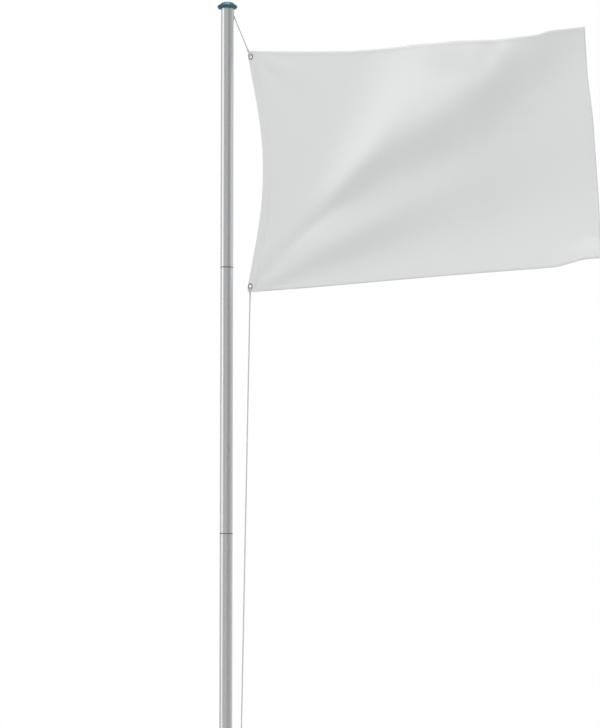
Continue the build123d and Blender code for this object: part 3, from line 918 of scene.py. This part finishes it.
def punched(mesh, margin):
    """Cut an oval hole for each grommet through a sheet, a margin larger than the ring's own hole."""
    holder = linked_object("sheet_to_punch", mesh)
    tools = []
    for which in ("top", "bottom"):
        cutter = bpy.data.meshes.new("punch")
        shaper = bmesh.new()
        bmesh.ops.create_cone(
            shaper, cap_ends=True, segments=48, radius1=1.0, radius2=1.0, depth=0.08)
        shaper.to_mesh(cutter)
        shaper.free()
        centre = grommet_centre(which)
        for vertex in cutter.vertices:
            x, y, z = vertex.co
            vertex.co = centre + Vector((x * (grommet_hole[0] + margin), z, -y * (grommet_hole[1] + margin)))
        tool = linked_object("punch", cutter)
        modifier = holder.modifiers.new("punch", "BOOLEAN")
        modifier.operation = "DIFFERENCE"
        modifier.solver = "EXACT"
        modifier.object = tool
        tools.append(tool)
    state = holder.evaluated_get(bpy.context.evaluated_depsgraph_get())
    result = bpy.data.meshes.new_from_object(state)
    for item in tools + [holder]:
        bpy.data.objects.remove(item)
    return result


def grommet_centre(which):
    """Centre of a corner grommet."""
    inset_x, inset_z = grommet_inset
    z = flag_bottom + inset_z if which == "bottom" else flag_bottom + hoist - inset_z
    return Vector((luff_x + inset_x, 0, z))


def rope_pull(which):
    """Direction in which the halyard pulls on a grommet."""
    target = head_exit if which == "top" else hitch_entry
    return (target - grommet_centre(which)).normalized()


def knot_end(which):
    """Where the halyard leaves a knot."""
    return grommet_centre(which) + rope_pull(which) * knot_far


def oval_ring(name, profile, segments, centre):
    """A closed oval ring about the Y axis from an outline of (share of the way out, y) points."""
    vertices = []
    faces = []
    count = len(profile)
    for s in range(segments):
        angle = 2 * pi * s / segments
        for share, y in profile:
            wide, high = [near + (far - near) * share for near, far in zip(grommet_hole, grommet_outer)]
            vertices.append((centre.x + wide * cos(angle), centre.y + y, centre.z + high * sin(angle)))
        for n in range(count):
            a = s * count + n
            b = s * count + (n + 1) % count
            ahead = (s + 1) % segments * count
            faces.append((a, b, ahead + (n + 1) % count, ahead + n))
    mesh = bpy.data.meshes.new(name)
    mesh.from_pydata(vertices, [], faces)
    close_up(mesh)
    smooth(mesh)
    return mesh


def flat_line(start, end, side, lift):
    """Points of a seam on one face of the flag, between two flat places in metres."""
    first = Vector(start)
    last = Vector(end)
    count = max(int((last - first).length / seam_step), 2)
    line = []
    for n in range(count + 1):
        p, q = first.lerp(last, n / count)
        along = p / flag_run
        up = q / hoist
        line.append(flag_place(along, up) + flag_normal(along, up) * side * lift(p, q))
    return line


class FLAGPOLE_OT_mast_finishes(bpy.types.Operator):
    """Give the tubes, seals, sleeve, cap and head fittings their finishes"""
    bl_idname = "flagpole.mast_finishes"
    bl_label = "Mast finishes"

    def execute(self, context):
        sections = [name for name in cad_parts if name.startswith("mast_section_")]
        seals = [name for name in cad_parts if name.startswith("joint_ring_")]
        dress(aluminium_finish(), "foot_spigot", "head_bush", *sections)
        dress(moulded_finish("seal_rubber", (0.150, 0.155, 0.160), roughness=0.62), *seals)
        sleeve = moulded_finish("sleeve_plastic", colours().sleeve, roughness=0.42, scale=700.0)
        dress(sleeve, "ground_sleeve")
        dress(moulded_finish("cap_plastic", colours().cap, roughness=0.22, depth=0.00004), "head_cap")
        black = moulded_finish("black_plastic", (0.020, 0.022, 0.024), roughness=0.45)
        dress(black, "head_plug", "halyard_sheave", "port_bush")
        steel = metal_finish(
            "turned_steel", (0.62, 0.62, 0.63), roughness=0.30, depth=0.00002, scale=1500.0)
        dress(steel, "sheave_axle")
        return {"FINISHED"}


class FLAGPOLE_OT_flag(bpy.types.Operator):
    """Make the cloth with its hems, the heading tape and the seams"""
    bl_idname = "flagpole.flag"
    bl_label = "Flag"

    def execute(self, context):
        cloth = linked_object("flag_field", self.cloth_mesh())
        cloth.data.materials.append(woven_finish(
            "flag_cloth", colours().cloth, threads=1500.0, depth=0.00012, roughness=0.84))
        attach(cloth, "flag")
        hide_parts("flag_cloth")
        tape = linked_object("heading_tape", punched(self.tape_mesh(), tape_hole_margin))
        tape.data.materials.append(woven_finish(
            "heading_tape", colours().tape, threads=900.0, depth=0.0003, roughness=0.88))
        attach(tape, "flag")
        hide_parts("flag_header")
        seams = self.seams()
        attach(seams, "flag")
        return {"FINISHED"}

    def cloth_thickness(self, p, q):
        """Thickness of the cloth, which is doubled at its hems."""
        hem = sizes().hem_width
        edge = min(q - hem, hoist - hem - q, flag_run - sizes().fly_hem_width - p)
        return sizes().cloth_thickness * (1 + hem_swell * clamp(0.5 - edge / hem_step))

    def tape_profile(self, p, q):
        """Thickness of the heading tape, whose edges are rounded."""
        edge = min(p, tape_width - p, q, hoist - q)
        return tape_thickness * (tape_edge_share + (1 - tape_edge_share) * clamp(edge / tape_bevel))

    def cloth_mesh(self):
        """The plain field, with closer marks at its hems and along its rim."""
        hem = sizes().hem_width
        steps = [hem_step * share for share in (-2, -0.5, 0.5, 2)]
        across = [flag_run - sizes().fly_hem_width + step for step in steps] + [flag_run - rim_width]
        rising = [edge + step for edge in (hem, hoist - hem) for step in steps]
        rising += [rim_width, hoist - rim_width]
        columns = marks_between(
            (tape_width - tape_lap) / flag_run, 1.0, field_squares[0], [p / flag_run for p in across])
        rows = marks_between(0.0, 1.0, field_squares[1], [q / hoist for q in rising])
        return sheet_mesh("flag_field", columns, rows, self.cloth_thickness)

    def tape_mesh(self):
        """The tape, with closer marks at its edges and at its two round corners."""
        edges = [0.001 / flag_run, (tape_width - 0.001) / flag_run]
        columns = marks_between(0.0, tape_width / flag_run, tape_squares[0], edges)
        ends = [0.001] + [0.0025 + 0.002 * n for n in range(8)]
        ends = [q / hoist for q in ends]
        rows = marks_between(0.0, 1.0, tape_squares[1], ends + [1 - end for end in ends])
        return sheet_mesh("heading_tape", columns, rows, self.tape_profile)

    def seams(self):
        """Seams of the hems, the tape and its bar tacks, on both faces."""
        hem = sizes().hem_width
        fly_hem = flag_run - sizes().fly_hem_width
        lines = []
        for side in (1, -1):
            for inset in seam_insets:
                for q in (hem - inset, hoist - hem + inset):
                    ends = ((tape_width, q), (flag_run - seam_end, q))
                    lines.append(flat_line(*ends, side, self.cloth_half))
                lines.append(self.upright_seam(fly_hem + inset, side, self.cloth_half))
            lines.append(self.upright_seam(flag_run - fly_edge_seam, side, self.cloth_half))
            for p in tape_seams:
                lines.append(self.upright_seam(p, side, self.tape_half))
            for low, high in tack_heights:
                lines += self.bar_tack(low, high, side)
        return grown("seam_stitches", lines, "stitches_along_lines", stitch_nodes, {
            "Pitch": sizes().stitch_pitch, "Length": sizes().stitch_length,
            "Thickness": thread_thickness,
            "Finish": thread_finish("sewing_thread", colours().thread)})

    def cloth_half(self, p, q):
        """How far the cloth's faces lie from its middle."""
        return self.cloth_thickness(p, q) / 2

    def tape_half(self, p, q):
        """How far the tape's faces lie from its middle."""
        return tape_thickness / 2

    def upright_seam(self, p, side, half):
        """A seam from the bottom edge to the top edge."""
        return flat_line((p, seam_end), (p, hoist - seam_end), side, half)

    def bar_tack(self, low, high, side):
        """A zigzag block of stitches that holds the tape at a corner."""
        left, right = tack_sides
        lines = []
        for n in range(tack_rows):
            start, middle, end = [low + (high - low) * (n + share) / tack_rows for share in (0, 0.5, 1)]
            lines.append(flat_line((left, start), (right, middle), side, self.tape_half))
            lines.append(flat_line((right, middle), (left, end), side, self.tape_half))
        return lines


class FLAGPOLE_OT_grommets(bpy.types.Operator):
    """Make the pressed eyelets at the flag's two corners"""
    bl_idname = "flagpole.grommets"
    bl_label = "Grommets"

    def execute(self, context):
        half = grommet_outline
        profile = half + [(share, -y) for share, y in reversed(half[1:])]
        finish = metal_finish(
            "grommet_metal", (0.47, 0.48, 0.49), roughness=0.32, depth=0.00003, scale=1300.0)
        for which, node in (("top", "upper_grommet"), ("bottom", "lower_grommet")):
            mesh = oval_ring(node + "_ring", profile, grommet_segments, grommet_centre(which))
            mesh.materials.append(finish)
            ring = linked_object(node + "_ring", mesh)
            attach(ring, "flag")
            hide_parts(node)
        return {"FINISHED"}


class FLAGPOLE_OT_halyard(bpy.types.Operator):
    """Make the halyard: two outer falls, the inner fall, the cleat hitch and the knots"""
    bl_idname = "flagpole.halyard"
    bl_label = "Halyard"

    def execute(self, context):
        finish = rope_finish("braided_rope", colours().rope)
        top = knot_end("top")
        upper = rope_piece(
            "upper_fall", [[head_exit, top]], finish, step=0.0006, sides=18, relief=braid_relief)
        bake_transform(upper)
        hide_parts("halyard_upper")
        bottom = knot_end("bottom")
        lower = rope_piece("lower_fall", [[bottom, hitch_top]], finish, step=0.003, sides=12)
        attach(lower, "pole")
        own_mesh(lower)
        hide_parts("halyard_lower")
        inner = rope_piece(
            "inner_fall", [smooth_route(inner_route, 24)], finish, step=0.003, sides=12)
        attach(inner, "pole")
        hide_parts("halyard_inner")
        hitch = rope_piece(
            "cleat_hitch", [smooth_route(hitch_route)], finish, step=0.0006, sides=24,
            relief=braid_relief)
        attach(hitch, "pole")
        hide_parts("halyard_hitch")
        twine = rope_finish("binding_twine", colours().thread)
        for which, node in (("top", "upper_knot"), ("bottom", "lower_knot")):
            loop, binding = self.knot_lines(which)
            knot = rope_piece(
                node + "_rope", loop, finish, step=0.0007, sides=24, relief=braid_relief)
            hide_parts(node)
            wraps = rope_piece(
                node + "_binding", [binding], twine, step=0.0005, sides=10,
                diameter=sizes().twine_diameter)
            for piece in (knot, wraps):
                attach(piece, "flag")
        return {"FINISHED"}

    def knot_lines(self, which):
        """The loop through a grommet with the part that runs on, and the turns that bind them."""
        centre = grommet_centre(which)
        pull = rope_pull(which)
        through = Vector((0, 1, 0))
        through = (through - pull * through.dot(pull)).normalized()
        aside = pull.cross(through)

        def at(a, b, c):
            return centre + aside * a + through * b + pull * c

        bend = knot_near - loop_flare
        pinch = knot_near + 0.001
        tail = knot_far - 0.002
        loop = smooth_route([
            at(0, -loop_pinch, tail), at(0, -loop_pinch, pinch), at(0, -loop_spread, bend),
            at(0, -loop_spread, loop_bottom), at(0, loop_spread, loop_bottom),
            at(0, loop_spread, bend), at(0, loop_pinch, pinch), at(0, loop_pinch, tail)])
        core = [at(0, 0, knot_near + 0.002), at(0, 0, knot_far)]
        start = knot_near + sizes().twine_diameter / 2
        rise = (knot_far - knot_near - sizes().twine_diameter) / binding_turns
        wide, deep = binding_radii
        turns = []
        for n in range(binding_steps * binding_turns + 1):
            turn = n / binding_steps
            angle = 2 * pi * turn
            turns.append(at(wide * cos(angle), deep * sin(angle), start + rise * turn))
        return [loop, core], smooth_route(turns)


class FLAGPOLE_OT_cleat(bpy.types.Operator):
    """Finish the cleat and set its screws"""
    bl_idname = "flagpole.cleat"
    bl_label = "Cleat"

    def execute(self, context):
        cast = metal_finish(
            "cast_aluminium", (0.50, 0.51, 0.53), roughness=0.40, depth=0.00016, scale=900.0)
        dress(cast, "halyard_cleat")
        finish = metal_finish(
            "screw_steel", (0.58, 0.58, 0.60), roughness=0.28, depth=0.00002, scale=1500.0)
        places = [[Vector((x, cleat_face, cleat_middle + z))] for x, z in screw_places]
        screws = grown("cleat_screws", places, "screw_heads_on_points", screw_nodes, {
            "Diameter": sizes().screw_diameter, "Height": screw_height, "Finish": finish})
        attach(screws, "pole")
        return {"FINISHED"}


class FLAGPOLE_OT_stage(bpy.types.Operator):
    """Set the floor, the lights, the surroundings and the camera"""
    bl_idname = "flagpole.stage"
    bl_label = "Stage"

    def execute(self, context):
        self.floor()
        self.surroundings()
        self.soft_light("key_light", (0.7, -3.1, 13.9), aim=(0.7, 0, 5.3), size=2.4, power=270)
        self.soft_light("fill_light", (5.5, -5.0, 4.4), aim=(0.6, 0, 4.6), size=3.0, power=12)
        self.camera()
        bpy.context.scene.view_settings.view_transform = "Standard"
        return {"FINISHED"}

    def floor(self):
        """A plain pale floor at the ground sleeve's foot, painted darker where the metal reflects it."""
        mesh = bpy.data.meshes.new("floor")
        turns = [2 * pi * n / floor_corners for n in range(floor_corners)]
        corners = [(floor_radius * cos(turn), floor_radius * sin(turn), 0) for turn in turns]
        mesh.from_pydata(corners, [], [range(floor_corners)])
        material, tree, shader = new_finish("pale_floor")
        # Painted reflection: glossy rays see the floor in a darker tone than the camera does
        mirrored = put(tree, "ShaderNodeLightPath").outputs["Is Glossy Ray"]
        tone = blended(tree, mirrored, floor_tone, painted_floor_reflection_tone)
        set_sockets(tree, shader, {"Base Color": tone, "Roughness": 0.9})
        mesh.materials.append(material)
        linked_object("floor", mesh)

    def surroundings(self):
        """White behind the object, and soft upright bands of light for the metal to reflect."""
        world = bpy.data.worlds.new("studio")
        bpy.context.scene.world = world
        world.use_nodes = True
        tree = world.node_tree
        tree.nodes.clear()
        way = put(tree, "ShaderNodeTexCoord").outputs["Generated"]
        path = put(tree, "ShaderNodeLightPath").outputs
        x, y, z = parts_of(tree, way)
        bearing = maths(tree, "ARCTAN2", x, maths(tree, "MULTIPLY", y, -1.0))
        share = maths(tree, "MULTIPLY_ADD", bearing, 0.5 / pi, 0.5)
        ramp = put(tree, "ShaderNodeValToRGB", {0: share})
        stops = ramp.color_ramp.elements
        while len(stops) < len(light_bands):
            stops.new(0.5)
        for stop, (angle, light) in zip(stops, light_bands):
            stop.position = (angle + 180) / 360
            stop.color = (light, light, light, 1)
        glow = blended(tree, risen(tree, z, *sky_rise), ramp.outputs[0], sky_light)
        toward = put(tree, "ShaderNodeVectorMath", {0: way, 1: window_way}, operation="DOT_PRODUCT")
        window = risen(tree, toward.outputs["Value"], *window_edge)
        window = maths(tree, "MULTIPLY", window, path["Is Glossy Ray"])
        glow = blended(tree, window, glow, window_light)
        shown = blended(tree, path["Is Camera Ray"], glow, (1.0, 1.0, 1.0))
        strength = maths(tree, "MULTIPLY_ADD", path["Is Diffuse Ray"], diffuse_gain, 1.0)
        background = put(tree, "ShaderNodeBackground", {"Color": shown, "Strength": strength})
        put(tree, "ShaderNodeOutputWorld", {"Surface": background.outputs[0]})

    def soft_light(self, name, place, aim, size, power):
        """A large square lamp that the camera and the metal don't see."""
        lamp = bpy.data.lights.new(name, "AREA")
        lamp.shape = "SQUARE"
        lamp.size = size
        lamp.energy = power
        holder = linked_object(name, lamp)
        holder.location = place
        holder.rotation_euler = (Vector(aim) - Vector(place)).to_track_quat("-Z", "Y").to_euler()
        holder.visible_camera = False
        holder.visible_glossy = False

    def camera(self):
        """The photograph's view of the upper part of the pole."""
        lens = bpy.data.cameras.new("camera")
        lens.sensor_width = 36
        lens.lens = camera_focus / frame_height * lens.sensor_width
        holder = linked_object("camera", lens)
        holder.location = camera_place
        holder.rotation_euler = (camera_aim - camera_place).to_track_quat("-Z", "Y").to_euler()
        bpy.context.scene.camera = holder


class FLAGPOLE_PT_panel(bpy.types.Panel):
    """Flagpole sizes, colours and pieces"""
    bl_idname = "FLAGPOLE_PT_panel"
    bl_label = "Flagpole"
    bl_space_type = "VIEW_3D"
    bl_region_type = "UI"
    bl_category = "Flagpole"

    def draw(self, context):
        for group in (context.scene.flagpole_sizes, context.scene.flagpole_colours):
            box = self.layout.box()
            for label in group.bl_rna.properties.keys():
                if label not in ("rna_type", "name"):
                    box.prop(group, label)
        for operator in operators:
            self.layout.operator(operator.bl_idname)


operators = (
    FLAGPOLE_OT_mast_finishes, FLAGPOLE_OT_cleat, FLAGPOLE_OT_grommets, FLAGPOLE_OT_flag,
    FLAGPOLE_OT_halyard, FLAGPOLE_OT_stage)
classes = (FlagpoleSizes, FlagpoleColours) + operators + (FLAGPOLE_PT_panel,)


def register():
    """Register the classes and the scene's own properties."""
    for item in classes:
        bpy.utils.register_class(item)
    bpy.types.Scene.flagpole_sizes = bpy.props.PointerProperty(type=FlagpoleSizes)
    bpy.types.Scene.flagpole_colours = bpy.props.PointerProperty(type=FlagpoleColours)


def unregister():
    """Remove the scene's own properties and the classes."""
    del bpy.types.Scene.flagpole_colours
    del bpy.types.Scene.flagpole_sizes
    for item in reversed(classes):
        bpy.utils.unregister_class(item)


def main():
    """Make every piece in order."""
    register()
    bpy.ops.flagpole.mast_finishes()
    bpy.ops.flagpole.cleat()
    bpy.ops.flagpole.grommets()
    bpy.ops.flagpole.flag()
    bpy.ops.flagpole.halyard()
    bpy.ops.flagpole.stage()


if __name__ == "__main__":
    main()
